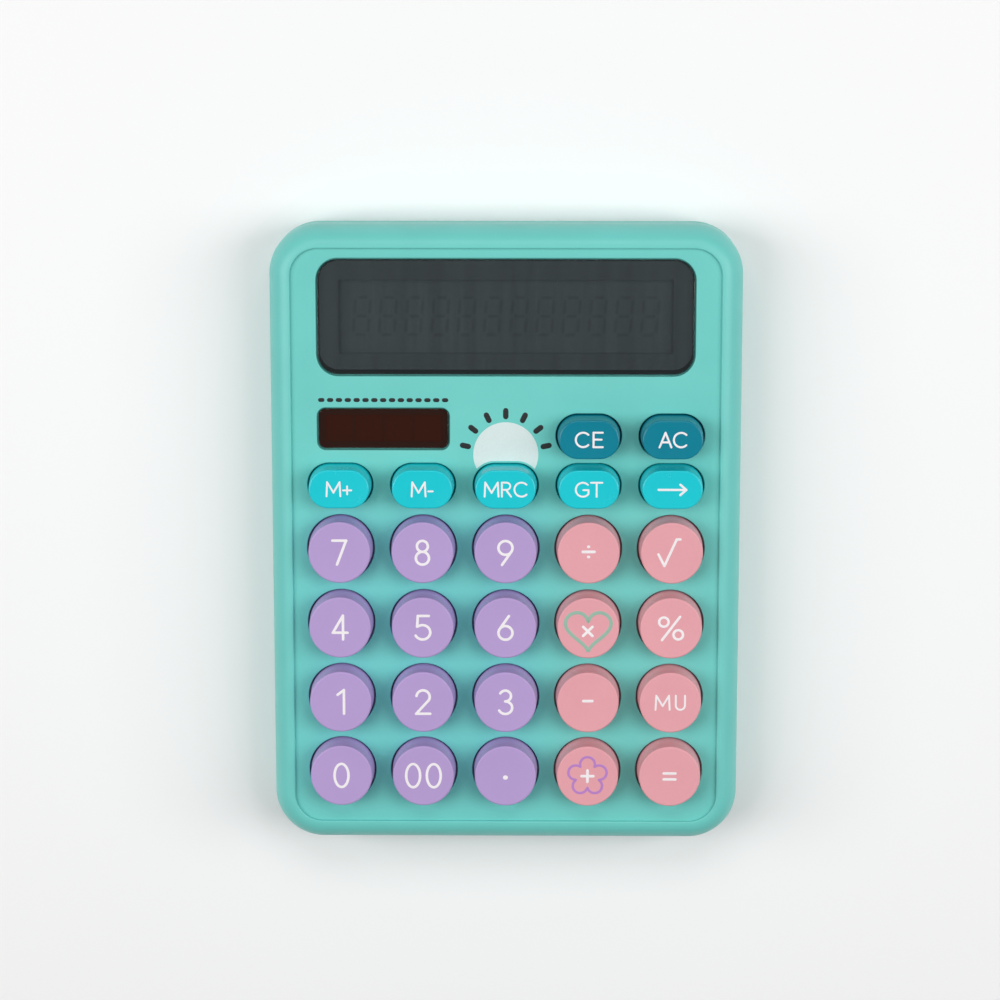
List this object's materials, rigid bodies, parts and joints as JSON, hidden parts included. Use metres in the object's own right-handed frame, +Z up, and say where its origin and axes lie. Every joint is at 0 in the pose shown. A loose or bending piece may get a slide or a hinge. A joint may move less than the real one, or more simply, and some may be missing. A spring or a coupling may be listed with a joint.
{
  "type": "desk calculator",
  "caption": "Flat desk calculator with round and oval sprung keys, a wide display window, a solar window, a rounded two-part case and rubber feet.",
  "frame": {"origin": "on the desk plane, under the middle of the case's bounding box", "axes": "+Z up out of the keys, +Y from the user towards the display, +X to the user's right"},
  "size_m": [0.114, 0.152, 0.0269],
  "materials": {
    "case": "satin ABS, mint",
    "lilac_key": "satin ABS, lilac",
    "pink_key": "satin ABS, pink",
    "turquoise_key": "satin ABS, turquoise",
    "deep_teal_key": "satin ABS, deep teal",
    "smoked_window": "clear acrylic with a grey tint",
    "solar_window": "clear acrylic over a dark cell",
    "display_glass": "grey-green liquid crystal glass",
    "white_plastic": "moulded, matt",
    "black_rubber": "conductive rubber",
    "solar_cell": "amorphous silicon on glass",
    "red_lead": "insulated wire",
    "black_lead": "insulated wire",
    "circuit_board": "green solder mask",
    "black_resin": "epoxy",
    "silicone": "translucent silicone",
    "steel": "plated steel",
    "nickel": "nickel-plated spring strip",
    "foot_rubber": "matt rubber"
  },
  "bodies": {
    "case": {"top_cover": "case", "bottom_cover": "case", "battery_door": "case", "display_window": "smoked_window", "solar_window": "solar_window", "lcd_panel": "display_glass", "lcd_bracket": "white_plastic", "zebra_strip": "black_rubber", "solar_cell": "solar_cell", "solar_lead_plus": "red_lead", "solar_lead_minus": "black_lead", "main_board": "circuit_board", "chip_blob": "black_resin", "key_mat": "silicone", "button_cell": "steel", "battery_contact_plus": "nickel", "battery_contact_minus": "nickel", "door_screw": "steel", "foot_front_left": "foot_rubber", "foot_front_right": "foot_rubber", "foot_rear_left": "foot_rubber", "foot_rear_right": "foot_rubber", "case_screw_1": "steel", "case_screw_2": "steel", "case_screw_3": "steel", "case_screw_4": "steel", "case_screw_5": "steel", "case_screw_6": "steel", "board_screw_1": "steel", "board_screw_2": "steel", "board_screw_3": "steel", "board_screw_4": "steel"},
    "key_m_plus": {"key_m_plus": "turquoise_key"},
    "key_m_minus": {"key_m_minus": "turquoise_key"},
    "key_mrc": {"key_mrc": "turquoise_key"},
    "key_gt": {"key_gt": "turquoise_key"},
    "key_backspace": {"key_backspace": "turquoise_key"},
    "key_ce": {"key_ce": "deep_teal_key"},
    "key_ac": {"key_ac": "deep_teal_key"},
    "key_7": {"key_7": "lilac_key"},
    "key_8": {"key_8": "lilac_key"},
    "key_9": {"key_9": "lilac_key"},
    "key_4": {"key_4": "lilac_key"},
    "key_5": {"key_5": "lilac_key"},
    "key_6": {"key_6": "lilac_key"},
    "key_1": {"key_1": "lilac_key"},
    "key_2": {"key_2": "lilac_key"},
    "key_3": {"key_3": "lilac_key"},
    "key_0": {"key_0": "lilac_key"},
    "key_00": {"key_00": "lilac_key"},
    "key_point": {"key_point": "lilac_key"},
    "key_divide": {"key_divide": "pink_key"},
    "key_root": {"key_root": "pink_key"},
    "key_multiply": {"key_multiply": "pink_key"},
    "key_percent": {"key_percent": "pink_key"},
    "key_minus": {"key_minus": "pink_key"},
    "key_mu": {"key_mu": "pink_key"},
    "key_plus": {"key_plus": "pink_key"},
    "key_equals": {"key_equals": "pink_key"}
  },
  "joints": [
    {"name": "key_m_plus_press", "type": "slide", "parent": "case", "child": "key_m_plus", "axis": [0, 0, -1], "range_m": [0, 0.0025], "stiffness_N_per_m": 240, "springref_m": -0.0015, "deforming": ["key_mat"]},
    {"name": "key_m_minus_press", "type": "slide", "parent": "case", "child": "key_m_minus", "axis": [0, 0, -1], "range_m": [0, 0.0025], "stiffness_N_per_m": 240, "springref_m": -0.0015, "deforming": ["key_mat"]},
    {"name": "key_mrc_press", "type": "slide", "parent": "case", "child": "key_mrc", "axis": [0, 0, -1], "range_m": [0, 0.0025], "stiffness_N_per_m": 240, "springref_m": -0.0015, "deforming": ["key_mat"]},
    {"name": "key_gt_press", "type": "slide", "parent": "case", "child": "key_gt", "axis": [0, 0, -1], "range_m": [0, 0.0025], "stiffness_N_per_m": 240, "springref_m": -0.0015, "deforming": ["key_mat"]},
    {"name": "key_backspace_press", "type": "slide", "parent": "case", "child": "key_backspace", "axis": [0, 0, -1], "range_m": [0, 0.0025], "stiffness_N_per_m": 240, "springref_m": -0.0015, "deforming": ["key_mat"]},
    {"name": "key_ce_press", "type": "slide", "parent": "case", "child": "key_ce", "axis": [0, 0, -1], "range_m": [0, 0.0025], "stiffness_N_per_m": 240, "springref_m": -0.0015, "deforming": ["key_mat"]},
    {"name": "key_ac_press", "type": "slide", "parent": "case", "child": "key_ac", "axis": [0, 0, -1], "range_m": [0, 0.0025], "stiffness_N_per_m": 240, "springref_m": -0.0015, "deforming": ["key_mat"]},
    {"name": "key_7_press", "type": "slide", "parent": "case", "child": "key_7", "axis": [0, 0, -1], "range_m": [0, 0.0025], "stiffness_N_per_m": 240, "springref_m": -0.0015, "deforming": ["key_mat"]},
    {"name": "key_8_press", "type": "slide", "parent": "case", "child": "key_8", "axis": [0, 0, -1], "range_m": [0, 0.0025], "stiffness_N_per_m": 240, "springref_m": -0.0015, "deforming": ["key_mat"]},
    {"name": "key_9_press", "type": "slide", "parent": "case", "child": "key_9", "axis": [0, 0, -1], "range_m": [0, 0.0025], "stiffness_N_per_m": 240, "springref_m": -0.0015, "deforming": ["key_mat"]},
    {"name": "key_4_press", "type": "slide", "parent": "case", "child": "key_4", "axis": [0, 0, -1], "range_m": [0, 0.0025], "stiffness_N_per_m": 240, "springref_m": -0.0015, "deforming": ["key_mat"]},
    {"name": "key_5_press", "type": "slide", "parent": "case", "child": "key_5", "axis": [0, 0, -1], "range_m": [0, 0.0025], "stiffness_N_per_m": 240, "springref_m": -0.0015, "deforming": ["key_mat"]},
    {"name": "key_6_press", "type": "slide", "parent": "case", "child": "key_6", "axis": [0, 0, -1], "range_m": [0, 0.0025], "stiffness_N_per_m": 240, "springref_m": -0.0015, "deforming": ["key_mat"]},
    {"name": "key_1_press", "type": "slide", "parent": "case", "child": "key_1", "axis": [0, 0, -1], "range_m": [0, 0.0025], "stiffness_N_per_m": 240, "springref_m": -0.0015, "deforming": ["key_mat"]},
    {"name": "key_2_press", "type": "slide", "parent": "case", "child": "key_2", "axis": [0, 0, -1], "range_m": [0, 0.0025], "stiffness_N_per_m": 240, "springref_m": -0.0015, "deforming": ["key_mat"]},
    {"name": "key_3_press", "type": "slide", "parent": "case", "child": "key_3", "axis": [0, 0, -1], "range_m": [0, 0.0025], "stiffness_N_per_m": 240, "springref_m": -0.0015, "deforming": ["key_mat"]},
    {"name": "key_0_press", "type": "slide", "parent": "case", "child": "key_0", "axis": [0, 0, -1], "range_m": [0, 0.0025], "stiffness_N_per_m": 240, "springref_m": -0.0015, "deforming": ["key_mat"]},
    {"name": "key_00_press", "type": "slide", "parent": "case", "child": "key_00", "axis": [0, 0, -1], "range_m": [0, 0.0025], "stiffness_N_per_m": 240, "springref_m": -0.0015, "deforming": ["key_mat"]},
    {"name": "key_point_press", "type": "slide", "parent": "case", "child": "key_point", "axis": [0, 0, -1], "range_m": [0, 0.0025], "stiffness_N_per_m": 240, "springref_m": -0.0015, "deforming": ["key_mat"]},
    {"name": "key_divide_press", "type": "slide", "parent": "case", "child": "key_divide", "axis": [0, 0, -1], "range_m": [0, 0.0025], "stiffness_N_per_m": 240, "springref_m": -0.0015, "deforming": ["key_mat"]},
    {"name": "key_root_press", "type": "slide", "parent": "case", "child": "key_root", "axis": [0, 0, -1], "range_m": [0, 0.0025], "stiffness_N_per_m": 240, "springref_m": -0.0015, "deforming": ["key_mat"]},
    {"name": "key_multiply_press", "type": "slide", "parent": "case", "child": "key_multiply", "axis": [0, 0, -1], "range_m": [0, 0.0025], "stiffness_N_per_m": 240, "springref_m": -0.0015, "deforming": ["key_mat"]},
    {"name": "key_percent_press", "type": "slide", "parent": "case", "child": "key_percent", "axis": [0, 0, -1], "range_m": [0, 0.0025], "stiffness_N_per_m": 240, "springref_m": -0.0015, "deforming": ["key_mat"]},
    {"name": "key_minus_press", "type": "slide", "parent": "case", "child": "key_minus", "axis": [0, 0, -1], "range_m": [0, 0.0025], "stiffness_N_per_m": 240, "springref_m": -0.0015, "deforming": ["key_mat"]},
    {"name": "key_mu_press", "type": "slide", "parent": "case", "child": "key_mu", "axis": [0, 0, -1], "range_m": [0, 0.0025], "stiffness_N_per_m": 240, "springref_m": -0.0015, "deforming": ["key_mat"]},
    {"name": "key_plus_press", "type": "slide", "parent": "case", "child": "key_plus", "axis": [0, 0, -1], "range_m": [0, 0.0025], "stiffness_N_per_m": 240, "springref_m": -0.0015, "deforming": ["key_mat"]},
    {"name": "key_equals_press", "type": "slide", "parent": "case", "child": "key_equals", "axis": [0, 0, -1], "range_m": [0, 0.0025], "stiffness_N_per_m": 240, "springref_m": -0.0015, "deforming": ["key_mat"]}
  ]
}
